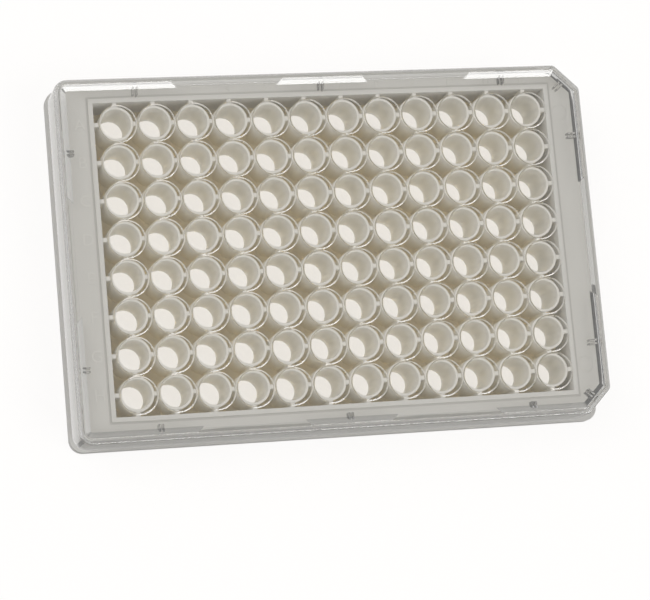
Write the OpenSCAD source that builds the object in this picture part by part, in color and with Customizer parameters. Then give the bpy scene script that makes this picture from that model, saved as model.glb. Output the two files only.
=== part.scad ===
// 96-well plate with a clear window under its wells and a loose clear lid.
// Lengths are millimetres. The plate stands on z = 0, centred on the z axis,
// with row A towards +y and column 1 towards -x.

/* [Well field] */
// Number of wells along x
columns = 12; // [4:1:24]
// Number of wells along y
rows = 8; // [2:1:16]
// Distance between well centres
pitch = 9; // [8.6:0.1:12]
// Bore of a well at its foot
well_d = 6.4; // [5:0.1:6.8]
// Widening of a well's radius from its foot to its mouth
well_taper = 0.25; // [0:0.05:0.25]
// Wall thickness of a well tube at its foot
tube_wall = 0.85; // [0.55:0.05:0.9]
// Width of the bevel around a well's mouth
mouth_bevel = 0.12; // [0.05:0.01:0.2]
// Depth of the well rims below the top of the plate
rim_drop = 0.15; // [0.05:0.05:0.6]
// Thickness of the ribs that tie the tubes to each other and to the frame
rib_t = 1; // [0.4:0.05:1.2]
// Depth of the ribs' top edges below the well rims
rib_drop = 0.2; // [0.1:0.05:2]
// Gap between the outer tubes and the frame around the field
field_gap = 1.05; // [0.6:0.05:2]
// Thickness of the web that joins the feet of the tubes
web_t = 1.2; // [0.6:0.1:3]

/* [Plate body] */
// Overall height of the plate without its lid
plate_h = 14.35; // [12:0.05:22]
// Distance from the well field to the footprint's edge along x
side_border = 9.28; // [7:0.01:16]
// Distance from the well field to the footprint's edge along y
front_border = 6.14; // [5.5:0.01:12]
// Corner radius of the foot flange
foot_r = 3.18; // [1:0.01:5]
// Height of the foot flange
flange_h = 2.5; // [1.5:0.1:5]
// Step from the foot flange in to the upper wall
rim_inset = 2.2; // [1.9:0.05:3]
// Corner radius of the upper wall at the column 1 end
upper_r = 1.6; // [0.5:0.1:3]
// Leg of the 45 degree cut across the upper wall's two far corners
corner_cut = 4.8; // [2:0.1:6]
// Wall thickness of the skirt and of the frame around the wells
skirt_wall = 1.3; // [0.8:0.05:1.8]
// Thickness of the deck between the skirt and the frame
deck_t = 1.2; // [0.8:0.05:3]
// Width of the raised lip around the well field
lip_w = 1.1; // [0.5:0.05:1.2]
// Height of the raised lip above the deck
lip_h = 0.35; // [0.1:0.05:1]
// Thickness of the stiffening ribs under the deck
stay_t = 0.8; // [0.5:0.05:1.5]
// Number of stiffening ribs along each long side
long_stays = 5; // [1:1:9]
// Number of stiffening ribs along each short side
short_stays = 3; // [1:1:7]
// Radius of the two round ejector marks on the far deck
mark_r = 1.9; // [1:0.1:2]
// Depth of the ejector marks
mark_deep = 0.1; // [0.05:0.05:0.4]
// Distance of the ejector marks from the middle of the deck
mark_y = 30.6; // [5:0.1:30.6]

/* [Window] */
// Thickness of the clear sheet that closes the wells
window_t = 1; // [0.2:0.1:2]
// Height of the sheet's underside above the bench
window_lift = 1.5; // [0.5:0.1:3]
// Width by which the sheet laps the frame
window_lap = 0.8; // [0.3:0.05:0.8]
// Corner radius of the sheet
window_r = 1; // [0.2:0.1:3]

/* [Lid] */
// Gap between the lid's skirt and the plate's upper wall, all round
lid_play = 0.75; // [0.3:0.05:1]
// Thickness of the lid's skirt
lid_wall = 0.95; // [0.6:0.05:1.2]
// Thickness of the lid's top
lid_top_t = 1.2; // [0.8:0.05:2]
// Air gap between the deck and the lid's top
lid_gap = 2; // [1:0.1:4]
// Depth of the lid's skirt below its top face
lid_skirt = 10.2; // [5:0.1:10.5]
// Share of the play by which the lid has slid along x
slide_x = -0.6; // [-1:0.05:1]
// Share of the play by which the lid has slid along y
slide_y = -0.65; // [-1:0.05:1]
// Distance of the stacking rail from the lid's edge
rail_inset = 1.2; // [0.8:0.05:2]
// Width of the low rail that runs all round
rail_w = 1.2; // [0.6:0.05:1.3]
// Height of the low rail
rail_h = 0.35; // [0.1:0.05:0.8]
// Width of the high stacking ridges
ridge_w = 1.6; // [1.4:0.05:2.4]
// Height of the high stacking ridges
ridge_h = 1; // [0.9:0.05:2]
// Width of the ridges' flat crest; from it they slope down towards the rings
ridge_crest = 0.2; // [0.1:0.05:1]
// Length of the ridge in the middle of each long side
mid_ridge = 22; // [8:0.5:30]
// Length of each break between ridges on the long sides
long_break = 23.7; // [8:0.1:30]
// Length of the break between ridges on the short sides
short_break = 26; // [8:0.5:40]
// Gap between neighbouring rings
ring_gap = 0.1; // [0.05:0.05:0.5]
// Width of the ring over each well
ring_w = 0.35; // [0.2:0.05:0.6]
// Height of the rings
ring_h = 0.3; // [0.1:0.05:0.6]
// Width of the pads that the lid rests on
pad_w = 1.3; // [0.6:0.1:3]
// Length of the pads
pad_l = 2.3; // [1.5:0.1:2.4]
// Overhang of the pads' outer ends past the edge of the deck
pad_overhang = 0.1; // [0:0.05:0.3]
// Distance between the pads along a long side
pad_step_x = 44.3; // [20:0.1:50]
// Distance between the two pads on a short side
pad_step_y = 50.2; // [20:0.1:56]

/* [Hidden] */
$fn = 48;

SKIN = 0.5; // overlap that lets joined solids share volume
LEVEL = 0.01; // thickness of the slices that a sloped solid is drawn between
LEAST_R = 0.3; // least corner radius of an outline that is set far in

tube_r = well_d / 2 + tube_wall;
field_w = (columns - 1) * pitch + 2 * (tube_r + field_gap);
field_d = (rows - 1) * pitch + 2 * (tube_r + field_gap);
foot_w = field_w + 2 * side_border;
foot_d = field_d + 2 * front_border;
upper_w = foot_w - 2 * rim_inset;
upper_d = foot_d - 2 * rim_inset;

deck_z = plate_h - lip_h;
rim_z = plate_h - rim_drop;
web_z = window_lift + window_t;

lid_w = upper_w + 2 * (lid_play + lid_wall);
lid_d = upper_d + 2 * (lid_play + lid_wall);
lid_under_z = deck_z + lid_gap;
lid_top_z = lid_under_z + lid_top_t;
lid_foot_z = lid_top_z - lid_skirt;
band_edge = lid_play + lid_wall - rail_inset;
pad_inset = lid_wall + lid_play - pad_overhang;

// Leg of the corner cut on an outline that runs t outside the upper wall
function cut_leg(t) = corner_cut + t * (2 - sqrt(2));

// Rectangle with four round corners
module round_rect(w, d, r) {
    square([w - 2 * r, d], center = true);
    square([w, d - 2 * r], center = true);
    for (sx = [-1, 1], sy = [-1, 1])
        translate([sx * (w / 2 - r), sy * (d / 2 - r)])
            circle(r);
}

// The upper wall's outline grown by t: round corners at -x, cut corners at +x
module keyed_outline(t) {
    w = upper_w + 2 * t;
    d = upper_d + 2 * t;
    leg = cut_leg(t);
    difference() {
        round_rect(w, d, max(upper_r + t, LEAST_R));
        for (sy = [-1, 1])
            translate([w / 2, sy * d / 2])
                rotate(45)
                    square(leg * sqrt(2), center = true);
    }
}

// Places its children at the centre of each well
module each_well() {
    for (c = [0:columns - 1], r = [0:rows - 1])
        translate([(c - (columns - 1) / 2) * pitch, (r - (rows - 1) / 2) * pitch])
            children();
}

// Straight ribs through the tubes' centres, from frame to frame
module rib_lines() {
    for (r = [0:rows - 1])
        translate([0, (r - (rows - 1) / 2) * pitch])
            square([field_w + 2 * SKIN, rib_t], center = true);
    for (c = [0:columns - 1])
        translate([(c - (columns - 1) / 2) * pitch, 0])
            square([rib_t, field_d + 2 * SKIN], center = true);
}

// Stiffeners across the hollow between the frame and the skirt, evenly spaced
module stay_lines() {
    for (i = [1:long_stays])
        translate([(i - (long_stays + 1) / 2) * field_w / long_stays, 0])
            square([stay_t, foot_d], center = true);
    for (i = [1:short_stays])
        translate([0, (i - (short_stays + 1) / 2) * field_d / short_stays])
            square([foot_w, stay_t], center = true);
}

// The pockets between the tubes, and the room over the ribs and over the rims
module field_pockets() {
    translate([0, 0, web_z + web_t])
        linear_extrude(plate_h)
            difference() {
                square([field_w, field_d], center = true);
                each_well() circle(tube_r);
                rib_lines();
            }
    translate([0, 0, rim_z - rib_drop])
        linear_extrude(plate_h)
            difference() {
                square([field_w, field_d], center = true);
                each_well() circle(tube_r);
            }
    translate([0, 0, rim_z])
        linear_extrude(plate_h)
            square([field_w, field_d], center = true);
}

// One well: straight through the web, then widening to its bevelled mouth
module well_bore() {
    foot_radius = well_d / 2;
    mouth_radius = foot_radius + well_taper;
    rotate_extrude()
        polygon([
            [0, -SKIN], [foot_radius, -SKIN], [foot_radius, web_z + web_t],
            [mouth_radius, rim_z - mouth_bevel],
            [mouth_radius + 2 * mouth_bevel, rim_z + mouth_bevel], [0, rim_z + mouth_bevel]
        ]);
}

// The open underside: below the window, inside the flange and under the deck
module underside() {
    translate([0, 0, -SKIN])
        linear_extrude(web_z + SKIN)
            keyed_outline(-skirt_wall);
    translate([0, 0, -SKIN])
        linear_extrude(flange_h - skirt_wall + SKIN)
            round_rect(foot_w - 2 * skirt_wall, foot_d - 2 * skirt_wall, foot_r - skirt_wall / 2);
    linear_extrude(deck_z - deck_t)
        difference() {
            keyed_outline(-skirt_wall);
            square([field_w + 2 * skirt_wall, field_d + 2 * skirt_wall], center = true);
            stay_lines();
        }
}

module plate_body() {
    color([0.80, 0.79, 0.76])
        difference() {
            union() {
                linear_extrude(flange_h)
                    round_rect(foot_w, foot_d, foot_r);
                linear_extrude(deck_z)
                    keyed_outline(0);
                linear_extrude(plate_h)
                    square([field_w + 2 * lip_w, field_d + 2 * lip_w], center = true);
            }
            underside();
            field_pockets();
            each_well() well_bore();
            for (sy = [-1, 1])
                translate([field_w / 2 + (side_border - rim_inset) / 2, sy * mark_y, deck_z - mark_deep])
                    cylinder(r = mark_r, h = lip_h);
        }
}

module well_window() {
    color([0.93, 0.94, 0.93, 0.35])
        translate([0, 0, window_lift])
            linear_extrude(window_t)
                round_rect(field_w + 2 * window_lap, field_d + 2 * window_lap, window_r);
}

// Tapered breaks that part the high ridges; the far side of each is wider
module ridge_breaks() {
    span = lid_d / 2 - rail_inset - ridge_w;
    reach = lid_w / 2 - rail_inset - ridge_w;
    for (sx = [-1, 1], sy = [-1, 1])
        translate([sx * (mid_ridge + long_break) / 2, sy * span])
            scale([1, sy])
                polygon([
                    [-long_break / 2, -SKIN], [-long_break / 2, 0],
                    [-long_break / 2 - 2 * ridge_w, 2 * ridge_w],
                    [long_break / 2 + 2 * ridge_w, 2 * ridge_w],
                    [long_break / 2, 0], [long_break / 2, -SKIN]
                ]);
    for (sx = [-1, 1])
        translate([sx * reach, 0])
            scale([sx, 1])
                polygon([
                    [-SKIN, -short_break / 2], [0, -short_break / 2],
                    [2 * ridge_w, -short_break / 2 - 2 * ridge_w],
                    [2 * ridge_w, short_break / 2 + 2 * ridge_w],
                    [0, short_break / 2], [-SKIN, short_break / 2]
                ]);
}

// Band of width w that follows the lid's edge, rail_inset inside it
module edge_band(w) {
    difference() {
        keyed_outline(band_edge);
        keyed_outline(band_edge - w);
    }
}

// The room inside the high ridges: its sides lean outwards from their feet to
// their crests
module ridge_slope() {
    hull() {
        translate([0, 0, lid_top_z])
            linear_extrude(LEVEL)
                keyed_outline(band_edge - ridge_w);
        translate([0, 0, lid_top_z + ridge_h])
            linear_extrude(LEVEL)
                keyed_outline(band_edge - ridge_crest);
    }
}

// The high ridges with their breaks and their slopes
module ridges() {
    difference() {
        translate([0, 0, lid_top_z - SKIN])
            linear_extrude(SKIN + ridge_h)
                difference() {
                    edge_band(ridge_w);
                    ridge_breaks();
                }
        ridge_slope();
    }
}

// Pads under the lid's top: along both long sides, on both short sides and
// one across each cut corner
module pads() {
    h = lid_gap + SKIN;
    for (i = [-1:1], sy = [-1, 1])
        translate([i * pad_step_x, sy * (lid_d / 2 - pad_inset - pad_l / 2), deck_z + h / 2])
            cube([pad_w, pad_l, h], center = true);
    for (sx = [-1, 1], sy = [-1, 1])
        translate([sx * (lid_w / 2 - pad_inset - pad_l / 2), sy * pad_step_y / 2, deck_z + h / 2])
            cube([pad_l, pad_w, h], center = true);
    corner = cut_leg(lid_play + lid_wall) / 2;
    for (sy = [-1, 1])
        translate([lid_w / 2 - corner, sy * (lid_d / 2 - corner), deck_z + h / 2])
            rotate(sy * 45)
                translate([-pad_inset - pad_l / 2, 0, 0])
                    cube([pad_l, pad_w, h], center = true);
}

module lid() {
    color([0.90, 0.92, 0.92, 0.35])
        translate([slide_x * lid_play, slide_y * lid_play, 0]) {
            difference() {
                union() {
                    translate([0, 0, lid_foot_z])
                        linear_extrude(lid_skirt)
                            keyed_outline(lid_play + lid_wall);
                    translate([0, 0, lid_top_z - SKIN])
                        linear_extrude(SKIN + rail_h)
                            edge_band(rail_w);
                    ridges();
                    translate([0, 0, lid_top_z - SKIN])
                        linear_extrude(SKIN + ring_h)
                            each_well()
                                difference() {
                                    circle((pitch - ring_gap) / 2);
                                    circle((pitch - ring_gap) / 2 - ring_w);
                                }
                }
                translate([0, 0, lid_foot_z - SKIN])
                    linear_extrude(lid_skirt - lid_top_t + SKIN)
                        keyed_outline(lid_play);
            }
            pads();
        }
}

plate_body();
well_window();
lid();
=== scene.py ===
import math

import bmesh
import bpy
from mathutils import Matrix, Vector


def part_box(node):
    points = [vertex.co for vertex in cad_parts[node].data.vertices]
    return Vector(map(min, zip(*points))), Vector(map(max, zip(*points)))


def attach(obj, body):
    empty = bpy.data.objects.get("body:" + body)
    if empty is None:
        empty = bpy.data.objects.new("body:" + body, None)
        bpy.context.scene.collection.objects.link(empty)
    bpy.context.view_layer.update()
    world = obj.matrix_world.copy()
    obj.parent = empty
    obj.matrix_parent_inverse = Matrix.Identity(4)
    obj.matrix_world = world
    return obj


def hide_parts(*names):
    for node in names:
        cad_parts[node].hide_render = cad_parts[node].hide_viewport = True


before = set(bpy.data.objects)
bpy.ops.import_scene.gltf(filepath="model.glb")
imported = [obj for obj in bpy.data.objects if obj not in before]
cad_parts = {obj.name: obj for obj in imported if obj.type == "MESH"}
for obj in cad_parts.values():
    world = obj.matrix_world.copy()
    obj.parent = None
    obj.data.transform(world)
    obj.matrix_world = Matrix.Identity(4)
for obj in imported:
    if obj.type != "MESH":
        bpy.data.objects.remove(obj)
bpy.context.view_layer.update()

MM = 0.001

# ---------------------------------------------------------------- sizes, in mm unless said
# The wells and the plate's deck
PITCH, COLUMNS, ROWS = 9.0, 12, 8
FIELD_EDGE = 5.1                            # from the outer wells' centres to the field's edge
FIELD_W = (COLUMNS - 1) * PITCH + 2 * FIELD_EDGE
FIELD_D = (ROWS - 1) * PITCH + 2 * FIELD_EDGE
BORE_REACH = 3.7                            # a well's centre to just outside its bore
LIP_W, LIP_H = 1.1, 0.35                    # the raised lip around the field
LIP_SHADE_W = 0.5                              # the band of painted shade along the lip's foot
DECK_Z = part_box("plate_body")[1].z / MM - LIP_H
SHADE_FROM, SHADE_TO = 42.5, 43.5           # the floor changes between these, along Y
BODY_EDGE, BODY_STEPS = 0.1, 2              # the rounding of the body's sharp edges

# The deck's row letters and column numbers
LETTER_X, LETTER_SIZE = -57.9, 3.9
NUMBER_Y, NUMBER_SIZE = 39.1, 2.3
MARK_H = 0.1                                # above the deck

# The lid; an inset is measured inwards from its outer edge
lid_low, lid_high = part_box("lid")
LID_MID = (lid_low + lid_high) / 2          # in metres
LID_W = (lid_high.x - lid_low.x) / MM
LID_D = (lid_high.y - lid_low.y) / MM
LID_R, LID_STEPS = 3.3, 10                  # the round corners at -x
LID_CUT = 5.796                             # the cut corners at +x, along each side
BEND_R, BEND_STEPS = 1.5, 4                 # the rounds at the ends of the cuts
BEND_MIN = 0.05                             # the least radius of those rounds, far inside
WALL = 0.95                                 # of the skirt
RIDGE_H, TOP_THICK = 1.0, 1.2               # the ridges above the top, and the top itself
FOOT_Z = lid_low.z / MM
RIDGE_Z = lid_high.z / MM
TOP_Z = RIDGE_Z - RIDGE_H
UNDER_Z = TOP_Z - TOP_THICK
EDGE_R, EDGE_STEPS = 0.6, 6                 # the round between skirt and top
FILLET, FILLET_MID = 0.3, 0.09              # the skirt's inner corner, and its middle point
FOOT_BEVEL = 0.12                           # along both edges of the skirt's foot

# The rail and the ridges on the lid, as insets of their outer and inner sides
BAND_NEAR, RIDGE_FAR = 1.2, 2.8
RAIL_NEAR, RAIL_FAR = BAND_NEAR + 0.02, 2.28  # just inside the ridges, so that no faces coincide
RAIL_H, RAIL_R, RAIL_STEPS = 0.35, 0.12, 4
SUNK_Z = TOP_Z - 0.3                        # where both start, inside the lid's top
RIDGE_EDGE = ((0, -0.15), (0.04, -0.04), (0.1, 0), (0.2, 0))  # rounded edge and crest: in, up
RIDGE_STEPS = 8                             # in the ridges' turns at the round corners
BREAK_MID, BREAK_LONG = 22.85, 11.85        # breaks in the long sides' ridges: centre, half length
BREAK_SHORT = 13.0                          # half the break in a short side's ridge

# The rings over the wells
RING_X, RING_Y = 0.48, -0.13                # from the middle of the lid
RING_R, RING_TURNS = 4.47, 48
RING_SECTION = ((0, 0), (0.22, 0.15), (0.25, 0.15), (0.36, 0))  # in from RING_R, up from the top

# The pads under the lid, each of two ribs
PAD_INSET, PAD_LONG, PAD_WIDE, PAD_RIB = 1.6, 2.3, 1.3, 0.45
PAD_SUNK = 0.5                              # how far a pad reaches up into the lid's top
PAD_EDGE, PAD_STEPS = 0.1, 2
PAD_APART = 44.3                            # between pads along the long sides
PAD_SIDE = 25.1                             # pads on the short sides, from the lid's middle
PAD_SLACK = 0.1                             # allowed when a face is told to be a pad's

# Limits
WELD = 0.002 * MM                           # points closer than this are one point
LEVEL = 0.99999                             # a normal's part along the axis it points along
BROAD = 1.2 * MM * MM                       # area from which an upright face is shaded flat
BODY_SHARP, LID_SHARP = math.radians(35), math.radians(24)
POLYSTYRENE_IOR = 1.59
BOUNCES, DIFFUSE_BOUNCES = 40, 8            # many, for light crosses the lid's faces many times

scene = bpy.context.scene
scene.view_settings.view_transform = "Standard"
scene.cycles.max_bounces = BOUNCES
scene.cycles.transmission_bounces = BOUNCES
scene.cycles.glossy_bounces = BOUNCES
scene.cycles.diffuse_bounces = DIFFUSE_BOUNCES


# ---------------------------------------------------------------- node helpers
def new_material(name):
    mat = bpy.data.materials.new(name)
    mat.use_nodes = True
    nt = mat.node_tree
    nt.nodes.clear()
    out = nt.nodes.new("ShaderNodeOutputMaterial")
    return mat, nt, out


def add(nt, kind, **settings):
    n = nt.nodes.new(kind)
    for key, value in settings.items():
        setattr(n, key, value)
    return n


def feed(nt, source, socket):
    """Sets a socket to a number or a colour, or links it to another socket."""
    if isinstance(source, (int, float, tuple)):
        socket.default_value = source
    else:
        nt.links.new(source, socket)


def principled(nt, **sockets):
    n = nt.nodes.new("ShaderNodeBsdfPrincipled")
    for key, value in sockets.items():
        feed(nt, value, n.inputs[key.replace("_", " ")])
    return n


def noise(nt, vector, scale, detail=3.0):
    n = add(nt, "ShaderNodeTexNoise")
    n.inputs["Scale"].default_value = scale
    n.inputs["Detail"].default_value = detail
    nt.links.new(vector, n.inputs["Vector"])
    return n.outputs["Fac"]


def spread(nt, value, low, high, from_low=0.0, from_high=1.0):
    """Low where the value is from_low, high where it is from_high, even in between."""
    n = add(nt, "ShaderNodeMapRange")
    n.inputs["From Min"].default_value = from_low
    n.inputs["From Max"].default_value = from_high
    n.inputs["To Min"].default_value = low
    n.inputs["To Max"].default_value = high
    nt.links.new(value, n.inputs["Value"])
    return n.outputs["Result"]


def outside(nt, share):
    """1 where the share is 0, and 0 where it is 1."""
    return spread(nt, share, 1.0, 0.0)


def uneven(nt, value, low, high):
    """A noise value, mostly from 0.3 to 0.7, as a number that wavers from low to high."""
    return spread(nt, value, low, high, 0.3, 0.7)


def bump(nt, height, distance):
    n = add(nt, "ShaderNodeBump")
    n.inputs["Distance"].default_value = distance
    n.inputs["Strength"].default_value = 0.5
    nt.links.new(height, n.inputs["Height"])
    return n.outputs["Normal"]


def axes(nt, vector):
    """The vector's X, Y and Z, as sockets."""
    split = add(nt, "ShaderNodeSeparateXYZ")
    nt.links.new(vector, split.inputs[0])
    return split.outputs


def math_node(nt, operation, a, b):
    n = add(nt, "ShaderNodeMath", operation=operation)
    feed(nt, a, n.inputs[0])
    feed(nt, b, n.inputs[1])
    return n.outputs[0]


def times(nt, a, b):
    return math_node(nt, "MULTIPLY", a, b)


def either(nt, a, b):
    """The greater of two shares."""
    return math_node(nt, "MAXIMUM", a, b)


def within(nt, value, limit):
    """1 where the value lies between -limit and limit."""
    size = add(nt, "ShaderNodeMath", operation="ABSOLUTE")
    nt.links.new(value, size.inputs[0])
    return math_node(nt, "LESS_THAN", size.outputs[0], limit)


def blend(nt, share, low, high):
    """Colour low where the share is 0 and high where it is 1."""
    n = add(nt, "ShaderNodeMix", data_type="RGBA")
    nt.links.new(share, n.inputs["Factor"])
    feed(nt, low, n.inputs[6])
    feed(nt, high, n.inputs[7])
    return n.outputs[2]


def mix_shaders(nt, out, share, first, second):
    """Puts the first shader where the share is 0 and the second where it is 1."""
    mix = add(nt, "ShaderNodeMixShader")
    nt.links.new(share, mix.inputs[0])
    nt.links.new(first.outputs[0], mix.inputs[1])
    nt.links.new(second.outputs[0], mix.inputs[2])
    nt.links.new(mix.outputs[0], out.inputs["Surface"])


def in_field(nt, place, wider=0.0):
    """1 over the field of wells, with its edges moved out by wider."""
    return times(nt, within(nt, place["X"], (FIELD_W / 2 + wider) * MM),
                 within(nt, place["Y"], (FIELD_D / 2 + wider) * MM))


def in_bores(nt, where):
    """1 in the bore of a well: near the centre of a cell of the square grid of wells."""
    flat = add(nt, "ShaderNodeVectorMath", operation="MULTIPLY")
    nt.links.new(where, flat.inputs[0])
    flat.inputs[1].default_value = (1, 1, 0)
    cell = add(nt, "ShaderNodeVectorMath", operation="WRAP")
    nt.links.new(flat.outputs[0], cell.inputs[0])
    cell.inputs[1].default_value = (PITCH * MM, PITCH * MM, PITCH * MM)
    cell.inputs[2].default_value = (0, 0, 0)
    far = add(nt, "ShaderNodeVectorMath", operation="DISTANCE")
    nt.links.new(cell.outputs[0], far.inputs[0])
    far.inputs[1].default_value = (PITCH / 2 * MM, PITCH / 2 * MM, 0)
    return math_node(nt, "LESS_THAN", far.outputs["Value"], BORE_REACH * MM)


def seen_rays(nt):
    """1 for rays that show something: camera, glossy and transmission rays."""
    path = add(nt, "ShaderNodeLightPath").outputs
    shown = either(nt, path["Is Camera Ray"], path["Is Glossy Ray"])
    return either(nt, shown, path["Is Transmission Ray"])


# ---------------------------------------------------------------- materials
def moulded_plastic(name):
    """Off-white plastic that lets light through. Its colour holds painted light and shade: lighter
    over the field of wells and lightest low in the bores (painted glow), browner down in the pockets
    between the tubes (painted shade), lighter on the raised lip and marks (painted highlight), and
    grey in a band of painted shade along the lip's foot."""
    deck, lip_foot_shade, mark = (0.68, 0.672, 0.65, 1), (0.52, 0.512, 0.49, 1), (0.73, 0.722, 0.70, 1)
    field_glow, pocket_shade, bore = (0.80, 0.785, 0.75, 1), (0.70, 0.64, 0.47, 1), (0.93, 0.925, 0.885, 1)
    lit, lit_pocket = (0.94, 0.925, 0.875, 1), (0.90, 0.80, 0.58, 1)
    pocket_z, bore_z, mouth_z = 4 * MM, 9 * MM, 13.6 * MM
    mark_low, mark_high = (DECK_Z + 0.02) * MM, (DECK_Z + 0.08) * MM
    grain, fine_grain, grain_depth = 900.0, 2600.0, 0.04 * MM
    let_through, bore_through, pocket_share = 0.3, 0.5, 0.9

    mat, nt, out = new_material(name)
    where = add(nt, "ShaderNodeTexCoord").outputs["Object"]
    place = axes(nt, where)
    field, to_lip, to_line = (in_field(nt, place, wider) for wider in (0, LIP_W, LIP_W + LIP_SHADE_W))
    bores = in_bores(nt, where)
    low_down = spread(nt, place["Z"], 1.0, 0.0, pocket_z, mouth_z)
    pockets = times(nt, times(nt, field, low_down), outside(nt, bores))
    low_in_bore = spread(nt, place["Z"], 1.0, 0.0, bore_z, mouth_z)
    deep_bores = times(nt, times(nt, field, bores), low_in_bore)
    raised = spread(nt, place["Z"], 0.0, 1.0, mark_low, mark_high)
    # Painted shade: a grey band just outside the lip, where the lip's foot lies in shade.
    colour = blend(nt, times(nt, to_line, outside(nt, to_lip)), deck, lip_foot_shade)
    # Painted highlight: the raised lip and the marks are coloured lighter than the deck, as faces
    # that catch the light.
    colour = blend(nt, raised, colour, mark)
    # Painted glow: the field of wells is coloured lighter than the deck, as though its walls carried
    # light up from below.
    colour = blend(nt, field, colour, field_glow)
    # Painted shade: the pockets between the tubes turn darker and browner towards their floors, warm
    # as light that has come through the plastic.
    colour = blend(nt, pockets, colour, pocket_shade)
    # Painted glow: the bores are coloured lightest low down, as though lit from below through their
    # clear bottoms.
    colour = blend(nt, deep_bores, colour, bore)
    shader = principled(nt, IOR=POLYSTYRENE_IOR, Specular_IOR_Level=0.4, Base_Color=colour,
                        Roughness=uneven(nt, noise(nt, where, grain), 0.36, 0.46),
                        Normal=bump(nt, noise(nt, where, fine_grain), grain_depth))
    glow = add(nt, "ShaderNodeBsdfTranslucent")
    nt.links.new(blend(nt, pockets, lit, lit_pocket), glow.inputs["Color"])
    through = times(nt, spread(nt, deep_bores, let_through, bore_through),
                    spread(nt, pockets, 1.0, pocket_share))
    mix_shaders(nt, out, through, shader, glow)
    return mat


def on_ridges(nt, where):
    """1 on the sloping faces of the clear lid outside the field of wells."""
    level_from, slope_to = 0.95, 0.6        # the normal's part along Z
    field = in_field(nt, axes(nt, where))
    facing = axes(nt, add(nt, "ShaderNodeNewGeometry").outputs["True Normal"])["Z"]
    tilted = times(nt, within(nt, facing, level_from), outside(nt, within(nt, facing, slope_to)))
    return times(nt, tilted, outside(nt, field))


def clear_plastic(name, tint, waves, also, dim_ridges=False):
    """Clear polystyrene with faint waves of the given height. Shadow rays go straight through
    it, and so do the rays that also names or, where it is a number, that share of the others.
    Shadow rays are weaker after the ridges where dim_ridges is set."""
    clear, dim = (0.955, 0.95, 0.94, 1), (0.45, 0.44, 0.42, 1)
    smooth, coarse_grain, wave_grain, wave_detail = 0.02, 400.0, 300.0, 2.0

    mat, nt, out = new_material(name)
    where = add(nt, "ShaderNodeTexCoord").outputs["Object"]
    glass = principled(nt, IOR=POLYSTYRENE_IOR, Transmission_Weight=1.0, Base_Color=tint,
                       Roughness=uneven(nt, noise(nt, where, coarse_grain), 0.0, smooth),
                       Normal=bump(nt, noise(nt, where, wave_grain, wave_detail), waves))
    path = add(nt, "ShaderNodeLightPath").outputs
    straight = either(nt, path["Is Shadow Ray"], path[also] if isinstance(also, str) else also)
    through = add(nt, "ShaderNodeBsdfTransparent")
    feed(nt, blend(nt, on_ridges(nt, where), clear, dim) if dim_ridges else clear,
         through.inputs["Color"])
    mix_shaders(nt, out, straight, glass, through)
    return mat


# ---------------------------------------------------------------- meshes
def column_x(c):
    """Where column c lies along X; column 0 holds the first wells."""
    return (c - (COLUMNS - 1) / 2) * PITCH


def row_y(w):
    """Where row w lies along Y; row 0 is the near one."""
    return (w - (ROWS - 1) / 2) * PITCH


def link(name, mesh, mat):
    piece = bpy.data.objects.new(name, mesh)
    scene.collection.objects.link(piece)
    mesh.materials.clear()
    mesh.materials.append(mat)
    return piece


def is_flat(normal, area):
    """True on level faces and on the large upright ones."""
    upright = max(abs(normal.x), abs(normal.y)) > LEVEL and area > BROAD
    return abs(normal.z) > LEVEL or upright


def softened(node, width, segments, mat):
    """A copy of a CAD node with its sharp edges rounded, as a mould leaves them."""
    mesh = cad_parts[node].data.copy()
    bm = bmesh.new()
    bm.from_mesh(mesh)
    bmesh.ops.remove_doubles(bm, verts=bm.verts, dist=WELD)
    sharp = [e for e in bm.edges if e.is_manifold and e.calc_face_angle() > BODY_SHARP]
    bmesh.ops.bevel(bm, geom=sharp, offset=width, offset_type="OFFSET", segments=segments,
                    profile=0.5, affect="EDGES", clamp_overlap=False)
    for face in bm.faces:
        face.smooth = not is_flat(face.normal, face.calc_area())
    bm.to_mesh(mesh)
    bm.free()
    mesh.set_sharp_from_angle(angle=BODY_SHARP)
    piece = link(node + "_moulded", mesh, mat)
    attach(piece, "root")
    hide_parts(node)


def arc(cx, cy, r, start, sweep, steps):
    """Points of an arc about (cx, cy), from the angle start over sweep degrees."""
    turns = [math.radians(start + sweep * i / steps) for i in range(steps + 1)]
    return [(cx + r * math.cos(a), cy + r * math.sin(a)) for a in turns]


def mirrored(points, sy):
    return [(x, sy * y) for x, y in points]


def chamfer(inset, sy):
    """The cut corner at +x on the side sy: two rounded bends, from the x side to the y side."""
    x, y = LID_W / 2 - inset, LID_D / 2 - inset
    leg = LID_CUT - inset * (2 - math.sqrt(2))
    r = max(BEND_R - inset, BEND_MIN)
    back = r * math.tan(math.radians(22.5))
    bends = arc(x - r, y - leg - back, r, 0, 45, BEND_STEPS)
    bends += arc(x - leg - back, y - r, r, 45, 45, BEND_STEPS)
    return mirrored(bends, sy)


def keyed(inset):
    """The lid's outline, inset: cut corners at +x and round ones at -x."""
    x, y = LID_W / 2 - inset, LID_D / 2 - inset
    r = LID_R - inset
    rounds = arc(r - x, y - r, r, 90, 90, LID_STEPS) + arc(r - x, r - y, r, 180, 90, LID_STEPS)
    return chamfer(inset, 1) + rounds + chamfer(inset, -1)[::-1]


def new_ring(bm, points):
    return [bm.verts.new((x * MM, y * MM, z * MM)) for x, y, z in points]


def join_rings(bm, a, b):
    """A band of faces between two closed rings of points."""
    for i in range(len(a)):
        j = (i + 1) % len(a)
        bm.faces.new((a[i], a[j], b[j], b[i]))


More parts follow.
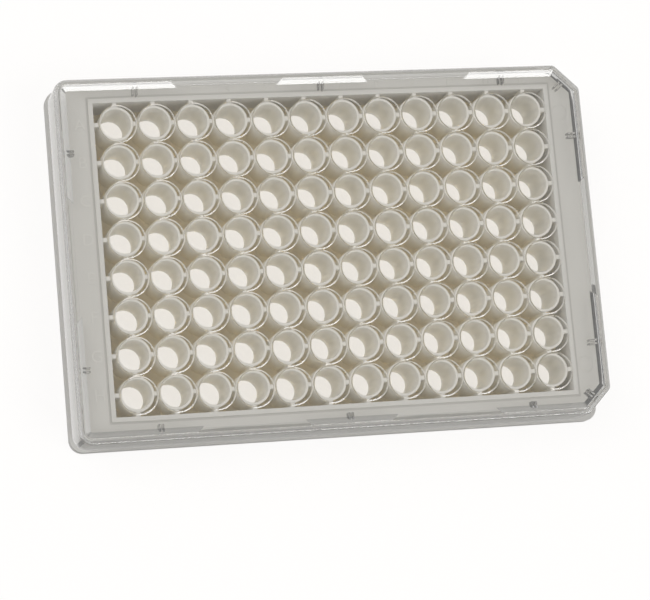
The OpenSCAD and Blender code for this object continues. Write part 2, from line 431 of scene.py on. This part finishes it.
def loft(bm, rings, closed=False):
    """Joins rings of points into a closed loop, or into a bar with a cap at both ends."""
    rows = [new_ring(bm, ring) for ring in rings]
    for a, b in zip(rows, rows[1:]):
        join_rings(bm, a, b)
    if closed:
        join_rings(bm, rows[-1], rows[0])
    else:
        bm.faces.new(rows[0][::-1])
        bm.faces.new(rows[-1])


def around_lid(section):
    """The lid's outline once for each (inset, z) of a section."""
    return [[(x, y, z) for x, y in keyed(inset)] for inset, z in section]


def finish_mesh(bm, name, mat):
    bmesh.ops.recalc_face_normals(bm, faces=bm.faces)
    for face in bm.faces:
        face.smooth = abs(face.normal.z) < LEVEL
    mesh = bpy.data.meshes.new(name)
    bm.to_mesh(mesh)
    bm.free()
    return link(name, mesh, mat)


# ---------------------------------------------------------------- the lid
def pad_places():
    """Centres and turns of the pads under the lid's top."""
    inset = PAD_INSET + PAD_LONG / 2
    places = [(i * PAD_APART, sy * (LID_D / 2 - inset), 90) for i in (-1, 0, 1) for sy in (-1, 1)]
    places += [(sx * (LID_W / 2 - inset), sy * PAD_SIDE, 0) for sx in (-1, 1) for sy in (-1, 1)]
    back = LID_CUT / 2 + inset / math.sqrt(2)
    return places + [(LID_W / 2 - back, sy * (LID_D / 2 - back), sy * 45) for sy in (-1, 1)]


def on_pad(place):
    """True for a point below the lid's top and away from its skirt, so on a pad."""
    x, y = place.x - LID_MID.x / MM, abs(place.y - LID_MID.y / MM)
    cut = (LID_W / 2 + LID_D / 2 - LID_CUT - x - y) / math.sqrt(2)
    from_skirt = min(LID_W / 2 - abs(x), LID_D / 2 - y, cut)
    return place.z < UNDER_Z - PAD_SLACK / 2 and from_skirt > PAD_INSET - PAD_SLACK


def cut_level_faces(bm):
    """Splits the lid's underside through each pad, so that no pad lies inside one face."""
    for x, y, turn in pad_places():
        axis = (1, 0, 0) if turn else (0, 1, 0)
        bmesh.ops.bisect_plane(bm, geom=list(bm.verts) + list(bm.edges) + list(bm.faces),
                               plane_co=(x * MM, y * MM, 0), plane_no=axis)


def add_ring(bm, cx, cy):
    """The lid's top over one well: a square cell with a low ring and a level disc in it."""
    angles = [2 * math.pi * k / RING_TURNS for k in range(RING_TURNS)]
    square = []
    for a in angles:
        reach = PITCH / 2 / max(abs(math.cos(a)), abs(math.sin(a)))
        square.append((cx + reach * math.cos(a), cy + reach * math.sin(a), TOP_Z))
    section = [(RING_R - inward, TOP_Z + up) for inward, up in RING_SECTION]
    loops = [[(cx + r * math.cos(a), cy + r * math.sin(a), z) for a in angles] for r, z in section]
    rows = [new_ring(bm, points) for points in [square] + loops]
    for p, q in zip(rows, rows[1:]):
        join_rings(bm, p, q)
    bm.faces.new(rows[-1])


def lid_shell(mat):
    """The lid's skirt and its top with a ring over each well, as one closed mesh."""
    section = [(WALL + FILLET, UNDER_Z), (WALL + FILLET_MID, UNDER_Z - FILLET_MID),
               (WALL, UNDER_Z - FILLET), (WALL, FOOT_Z + FOOT_BEVEL), (WALL - FOOT_BEVEL, FOOT_Z),
               (FOOT_BEVEL, FOOT_Z), (0, FOOT_Z + FOOT_BEVEL)]
    section += arc(EDGE_R, TOP_Z - EDGE_R, EDGE_R, 180, -90, EDGE_STEPS)
    bm = bmesh.new()
    loft(bm, around_lid(section))
    top = max(bm.faces, key=lambda f: f.calc_center_median().z * (len(f.verts) > 4))
    bm.faces.remove(top)
    cut_level_faces(bm)
    for c in range(COLUMNS):
        for w in range(ROWS):
            add_ring(bm, column_x(c) + RING_X, row_y(w) + RING_Y)
    bmesh.ops.remove_doubles(bm, verts=bm.verts, dist=WELD)
    rim = [e for e in bm.edges if e.is_boundary]
    bmesh.ops.triangle_fill(bm, use_beauty=True, use_dissolve=False, edges=rim)
    return finish_mesh(bm, "lid_moulded", mat)


def lid_rail(mat):
    """The low rail around the lid's top, with both of its upper edges rounded."""
    rail_z = TOP_Z + RAIL_H
    section = [(RAIL_NEAR, SUNK_Z)]
    section += arc(RAIL_NEAR + RAIL_R, rail_z - RAIL_R, RAIL_R, 180, -90, RAIL_STEPS)
    section += arc(RAIL_FAR - RAIL_R, rail_z - RAIL_R, RAIL_R, 90, -90, RAIL_STEPS)
    section += [(RAIL_FAR, SUNK_Z)]
    bm = bmesh.new()
    loft(bm, around_lid(section), closed=True)
    return finish_mesh(bm, "rail", mat)


def ridge_line(kind, sx, sy, inset):
    """The points of one ridge's path at an inset; its ends slope as its inner face does."""
    slope = RIDGE_FAR - inset
    x, y = LID_W / 2 - inset, LID_D / 2 - inset
    if kind == "middle":
        reach = BREAK_MID - BREAK_LONG - slope
        return [(-reach, sy * y), (reach, sy * y)]
    start = (sx * (BREAK_MID + BREAK_LONG + slope), sy * y)
    stop = (sx * x, sy * (BREAK_SHORT + slope))
    if sx > 0:
        corner = chamfer(inset, sy)[::-1]
    else:
        r = LID_R - inset
        corner = mirrored(arc(r - x, y - r, r, 90, 90, RIDGE_STEPS), sy)
    return [start] + corner + [stop]


def lid_ridges(mat):
    """The stacking ridges: one at the middle of each long side and one around each corner."""
    section = [(BAND_NEAR, SUNK_Z)]
    section += [(BAND_NEAR + inward, RIDGE_Z + up) for inward, up in RIDGE_EDGE]
    section += [(RIDGE_FAR, TOP_Z), (RIDGE_FAR, SUNK_Z)]
    spans = [("middle", 1, sy) for sy in (-1, 1)]
    spans += [("corner", sx, sy) for sx in (-1, 1) for sy in (-1, 1)]
    bm = bmesh.new()
    for kind, sx, sy in spans:
        lines = [[(x, y, z) for x, y in ridge_line(kind, sx, sy, inset)] for inset, z in section]
        loft(bm, list(zip(*lines)))
    return finish_mesh(bm, "ridges", mat)


def lid_pads(mat):
    """The pads that the lid rests on: pairs of ribs from the lid's top down to the deck."""
    pad_z = UNDER_Z + PAD_SUNK
    bm = bmesh.new()
    for x, y, turn in pad_places():
        spin = Matrix.Rotation(math.radians(turn), 4, "Z")
        place = Matrix.Translation((x * MM, y * MM, (pad_z + DECK_Z) / 2 * MM))
        size = Matrix.Diagonal((PAD_LONG * MM, PAD_RIB * MM, (pad_z - DECK_Z) * MM, 1))
        for side in (-1, 1):
            block = bmesh.ops.create_cube(bm, size=1.0)["verts"]
            off = Matrix.Translation((0, side * (PAD_WIDE - PAD_RIB) / 2 * MM, 0))
            bmesh.ops.transform(bm, matrix=place @ spin @ off @ size, verts=block)
    bmesh.ops.bevel(bm, geom=list(bm.edges), offset=PAD_EDGE * MM, offset_type="OFFSET",
                    segments=PAD_STEPS, profile=0.5, affect="EDGES")
    return finish_mesh(bm, "pads", mat)


def united(shell, others):
    """The mesh of the shell joined with the others, which are then removed."""
    for other in others:
        union = shell.modifiers.new(other.name, "BOOLEAN")
        union.operation = "UNION"
        union.solver = "MANIFOLD"
        union.object = other
    bpy.context.view_layer.update()
    joined = shell.evaluated_get(bpy.context.evaluated_depsgraph_get())
    mesh = bpy.data.meshes.new_from_object(joined)
    shell.modifiers.clear()
    for other in others:
        bpy.data.objects.remove(other)
    return mesh


def make_lid(mat, pad_mat):
    """The lid with its rail, ridges, rings and pads, where its solid lies on the plate."""
    shell = lid_shell(mat)
    mesh = united(shell, [lid_rail(mat), lid_ridges(mat), lid_pads(mat)])
    mesh.transform(Matrix.Translation((LID_MID.x, LID_MID.y, 0)))
    bm = bmesh.new()
    bm.from_mesh(mesh)
    many_sided = [f for f in bm.faces if len(f.verts) > 4 and len(f.verts) != RING_TURNS]
    bmesh.ops.triangulate(bm, faces=many_sided)
    bm.to_mesh(mesh)
    bm.free()
    mesh.materials.append(pad_mat)
    for face in mesh.polygons:
        face.use_smooth = not is_flat(face.normal, face.area)
        face.material_index = int(on_pad(face.center / MM))
    mesh.set_sharp_from_angle(angle=LID_SHARP)
    shell.data = mesh
    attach(shell, "root")
    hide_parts("lid")


# ---------------------------------------------------------------- the deck's marks
def deck_marks(mat):
    """Row letters, with A at the far side, and column numbers, raised a hair above the deck."""
    letters = [chr(ord("A") + ROWS - 1 - w) for w in range(ROWS)]
    words = [(letters[w], LETTER_X, row_y(w), LETTER_SIZE) for w in range(ROWS)]
    words += [(str(c + 1), column_x(c), NUMBER_Y, NUMBER_SIZE) for c in range(COLUMNS)]
    bm = bmesh.new()
    for word, x, y, size in words:
        curve = bpy.data.curves.new("mark", "FONT")
        curve.body = word
        curve.size = size * MM
        curve.extrude = MARK_H * MM
        curve.align_x = "CENTER"
        curve.align_y = "CENTER"
        shape = bpy.data.objects.new("mark", curve)
        part = bpy.data.meshes.new_from_object(shape)
        part.transform(Matrix.Translation((x * MM, y * MM, DECK_Z * MM)))
        bm.from_mesh(part)
        bpy.data.objects.remove(shape)
    mesh = bpy.data.meshes.new("deck_marks")
    bm.to_mesh(mesh)
    bm.free()
    piece = link("deck_marks", mesh, mat)
    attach(piece, "root")


body_mat = moulded_plastic("white_polystyrene")
window_mat = clear_plastic("clear_sheet", tint=(0.93, 0.92, 0.895, 1), waves=0.005 * MM, also=0.5)
lid_mat = clear_plastic("clear_lid", tint=(0.985, 0.98, 0.965, 1), waves=0.0004 * MM,
                        also="Is Diffuse Ray", dim_ridges=True)
# Painted shade: the pads are clear plastic tinted nearly black, for the dark they show by
# refraction.
pad_mat = clear_plastic("clear_pads_painted_dark", tint=(0.12, 0.12, 0.115, 1), waves=0.002 * MM,
                        also="Is Diffuse Ray")

softened("plate_body", BODY_EDGE * MM, BODY_STEPS, body_mat)
make_lid(lid_mat, pad_mat)
deck_marks(body_mat)

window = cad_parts["well_window"]
window.data.materials.clear()
window.data.materials.append(window_mat)


# ---------------------------------------------------------------- floor, world, lights
def make_floor(size):
    """A white floor that glows evenly for the rays that show it. Clear plastic shows it dimmer,
    but not right under the wells, and less so beyond the plate's far long side. Before the
    near long side it throws little light back, as the photo's plate stood on that side and
    had its own shadow there."""
    strength, shown_share, dim_share, far_share = 1.12, 0.80, 0.15, 0.72
    plain, wells = (1, 0.99, 0.98, 1), (1, 0.97, 0.935, 1)
    grey, shadow, held_share = (0.55, 0.55, 0.55, 1), (0.08, 0.075, 0.06, 1), 0.62
    side, beyond = SHADE_FROM * MM, SHADE_TO * MM

    bpy.ops.mesh.primitive_plane_add(size=size, location=(0, 0, 0))
    floor = bpy.context.object
    floor.name = "floor"
    mat, nt, out = new_material("white_floor")
    diffuse = add(nt, "ShaderNodeBsdfDiffuse")
    glow = add(nt, "ShaderNodeEmission")
    glow.inputs["Strength"].default_value = strength
    place = axes(nt, add(nt, "ShaderNodeTexCoord").outputs["Object"])
    under = in_field(nt, place)
    path = add(nt, "ShaderNodeLightPath").outputs
    bounced = either(nt, path["Is Diffuse Ray"], path["Is Glossy Ray"])
    near = spread(nt, place["Y"], held_share, 0.0, -beyond, -side)
    held_back = times(nt, near, bounced)
    nt.links.new(blend(nt, held_back, grey, shadow), diffuse.inputs["Color"])
    through = path["Is Transmission Ray"]
    nt.links.new(blend(nt, times(nt, under, through), plain, wells), glow.inputs["Color"])
    far = spread(nt, place["Y"], 1.0, far_share, side, beyond)
    dimmed = times(nt, through, times(nt, outside(nt, under), far))
    shown = times(nt, seen_rays(nt), outside(nt, held_back))
    mix_shaders(nt, out, times(nt, shown, spread(nt, dimmed, shown_share, dim_share)), diffuse, glow)
    mat.cycles.emission_sampling = "NONE"
    floor.data.materials.append(mat)


def make_world(strength, through_clear):
    """White for the rays that show the world, less so through clear plastic, and an even
    light of the given strength for all other rays."""
    world = bpy.data.worlds.new("studio")
    world.use_nodes = True
    nt = world.node_tree
    nt.nodes.clear()
    out = nt.nodes.new("ShaderNodeOutputWorld")
    plain = add(nt, "ShaderNodeBackground")
    plain.inputs["Color"].default_value = (1, 1, 1, 1)
    plain.inputs["Strength"].default_value = strength
    white = add(nt, "ShaderNodeBackground")
    white.inputs["Color"].default_value = (1, 1, 1, 1)
    through = add(nt, "ShaderNodeLightPath").outputs["Is Transmission Ray"]
    nt.links.new(spread(nt, through, 1.0, through_clear), white.inputs["Strength"])
    mix_shaders(nt, out, seen_rays(nt), plain, white)
    scene.world = world


def area_light(name, place, size, power, aim=(0, 0, 0), in_gloss=False):
    """A soft box that is seen in reflections and lights nothing else, or one that lights the
    object and isn't reflected. Clear plastic shows neither."""
    data = bpy.data.lights.new(name, "AREA")
    data.shape = "RECTANGLE"
    data.size, data.size_y = size
    data.energy = power
    lamp = bpy.data.objects.new(name, data)
    scene.collection.objects.link(lamp)
    lamp.location = place
    lamp.rotation_euler = (Vector(aim) - Vector(place)).to_track_quat("-Z", "Y").to_euler()
    lamp.visible_glossy = in_gloss
    lamp.visible_diffuse = not in_gloss
    lamp.visible_transmission = False


def dark_card(name, y, length):
    """A card on the floor beside the column 12 end, seen only through clear plastic, so that
    the lid's ridges there show dark lines."""
    x, z, width, dark = 85, 0.5, 34, (0.05, 0.05, 0.05, 1)
    bpy.ops.mesh.primitive_plane_add(size=1.0, location=(x * MM, y * MM, z * MM))
    card = bpy.context.object
    card.name = name
    card.scale = (width * MM, length * MM, 1)
    mat, nt, out = new_material(name)
    diffuse = add(nt, "ShaderNodeBsdfDiffuse")
    diffuse.inputs["Color"].default_value = dark
    nt.links.new(diffuse.outputs[0], out.inputs["Surface"])
    card.data.materials.append(mat)
    card.visible_camera = False
    card.visible_diffuse = False
    card.visible_glossy = False
    card.visible_shadow = False


make_floor(size=3.0)
make_world(strength=0.46, through_clear=0.55)
dark_card("dark_card_front", y=-34, length=50)
dark_card("dark_card_back", y=45, length=54)
area_light("key", place=(-0.6, 0.3, 0.9), size=(0.7, 0.7), power=5.0)
area_light("fill", place=(0.6, -0.35, 0.9), size=(0.7, 0.7), power=4.6)
area_light("gloss_strip", place=(0.487, -0.778, 0.51), size=(1.1, 0.35), power=7.2, in_gloss=True)
area_light("light_table", place=(0, 0, 1.2 * MM), size=(FIELD_W * MM, FIELD_D * MM), power=0.040,
           aim=(0, 0, 1))


# ---------------------------------------------------------------- camera
def make_camera(lens, eye, look, up):
    """A camera at eye that looks along look, with up about at the top of the picture."""
    data = bpy.data.cameras.new("camera")
    data.lens = lens
    data.sensor_width = 36.0
    data.clip_start = 0.01
    camera = bpy.data.objects.new("camera", data)
    scene.collection.objects.link(camera)
    look = look.normalized()
    right = look.cross(up).normalized()
    turn = Matrix((right, right.cross(look), -look)).transposed()
    camera.matrix_world = Matrix.Translation(eye) @ turn.to_4x4()
    scene.camera = camera


make_camera(lens=144.7, eye=Vector((-0.1476, -0.1058, 0.5965)),
            look=Vector((0.2371, 0.1545, -0.9591)), up=Vector((0.0498, 0.9840, 0.1708)))
